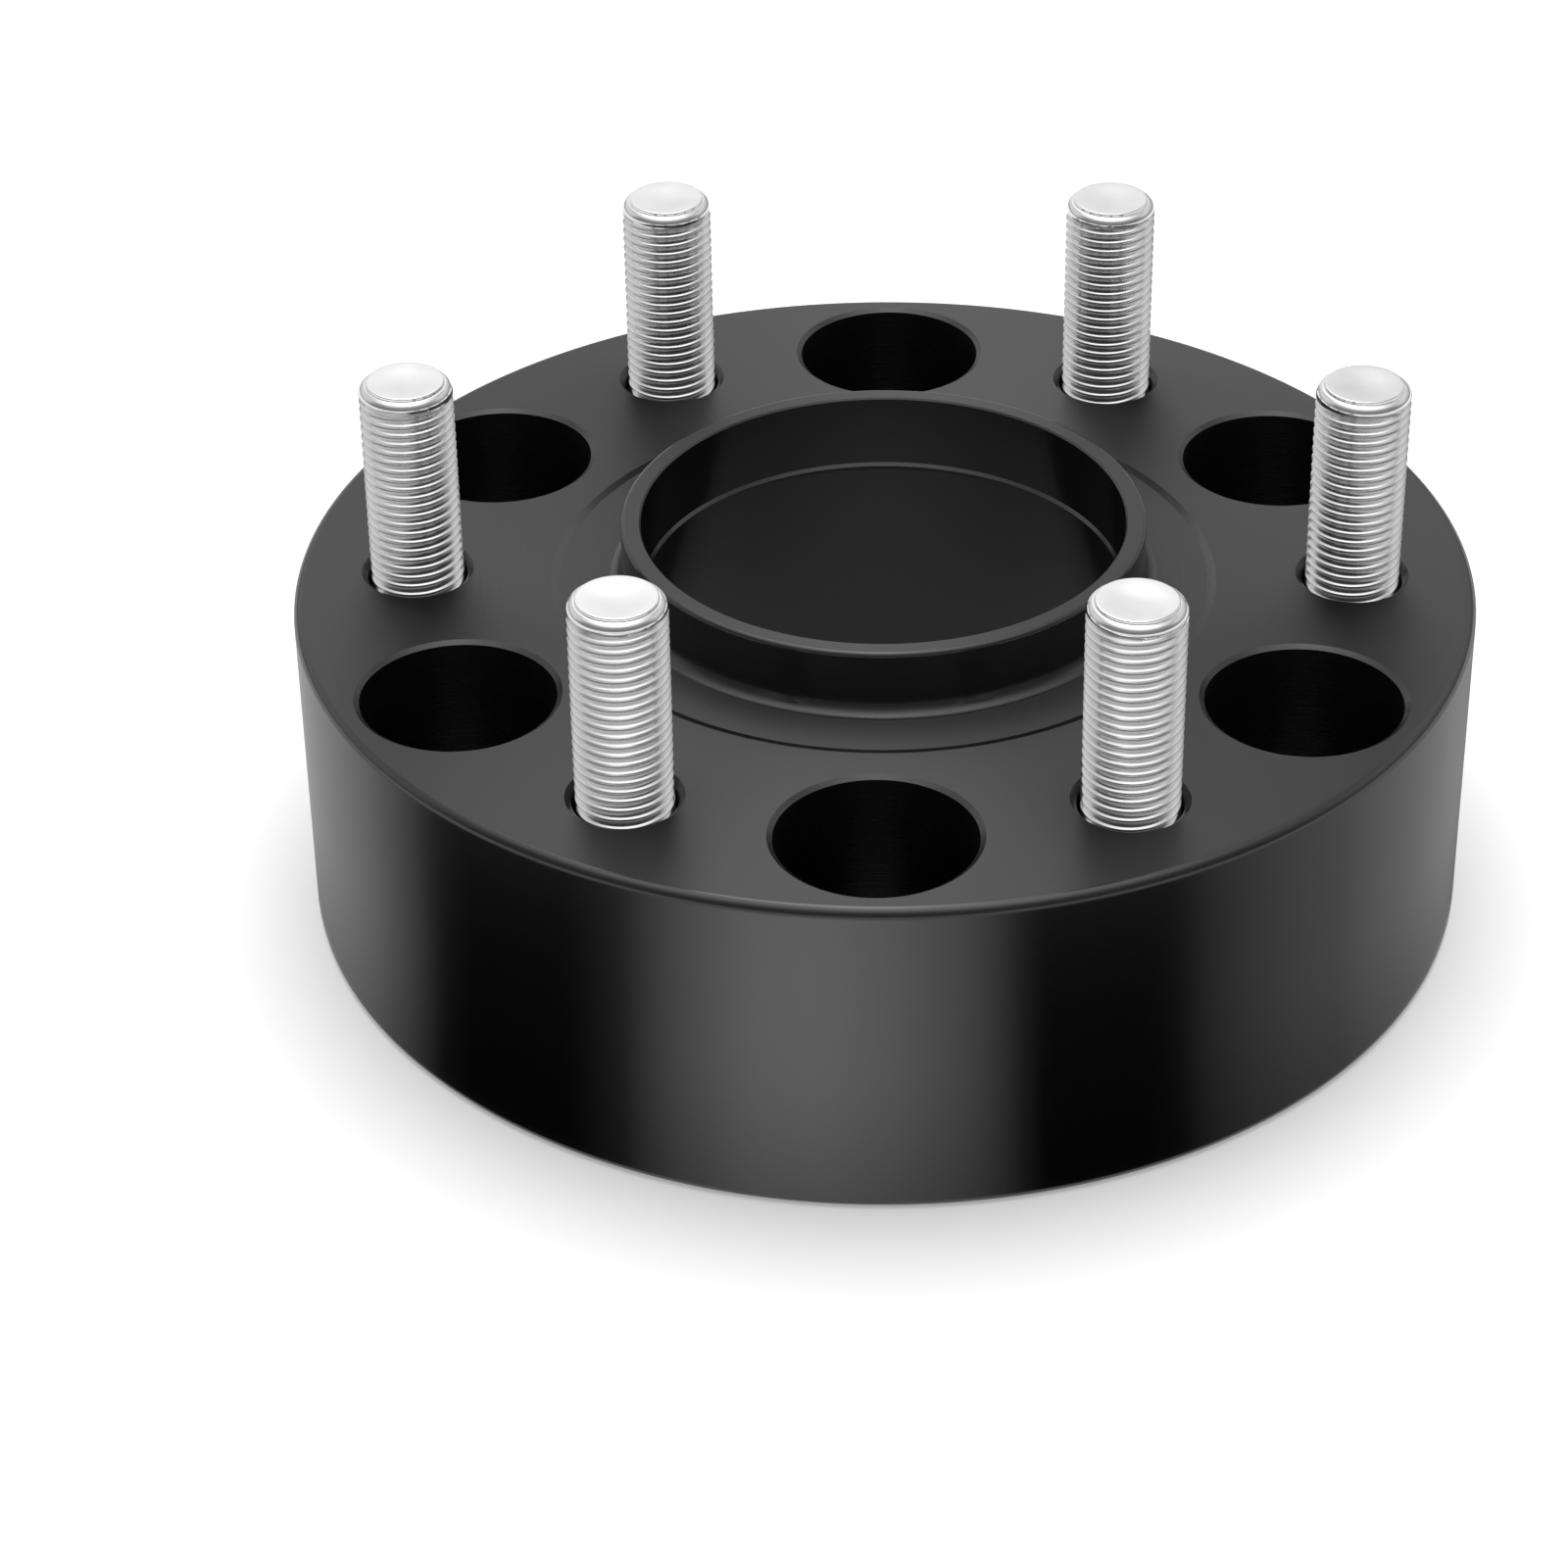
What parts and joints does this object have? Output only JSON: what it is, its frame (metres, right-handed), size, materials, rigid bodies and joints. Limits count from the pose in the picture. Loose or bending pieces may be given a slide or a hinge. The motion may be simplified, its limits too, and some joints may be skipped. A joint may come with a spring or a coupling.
{
  "type": "wheel spacer",
  "caption": "Thick round wheel spacer with deep nut pockets, pressed-in wheel studs and a thin centring lip round the hub bore.",
  "frame": {"origin": "centre of the hub bore in the back face, which meets the hub", "axes": "+Z along the bore axis, from the hub towards the wheel; the first nut pocket lies on -Y"},
  "size_m": [0.176, 0.176, 0.0828],
  "materials": {
    "black_anodised_aluminium": "black anodised over fine turning marks, satin",
    "zinc_plated_steel": "bright zinc plate over rolled threads"
  },
  "bodies": {
    "root": {"spacer_body": "black_anodised_aluminium", "wheel_stud_1": "zinc_plated_steel", "wheel_stud_2": "zinc_plated_steel", "wheel_stud_3": "zinc_plated_steel", "wheel_stud_4": "zinc_plated_steel", "wheel_stud_5": "zinc_plated_steel", "wheel_stud_6": "zinc_plated_steel"}
  },
  "joints": []
}
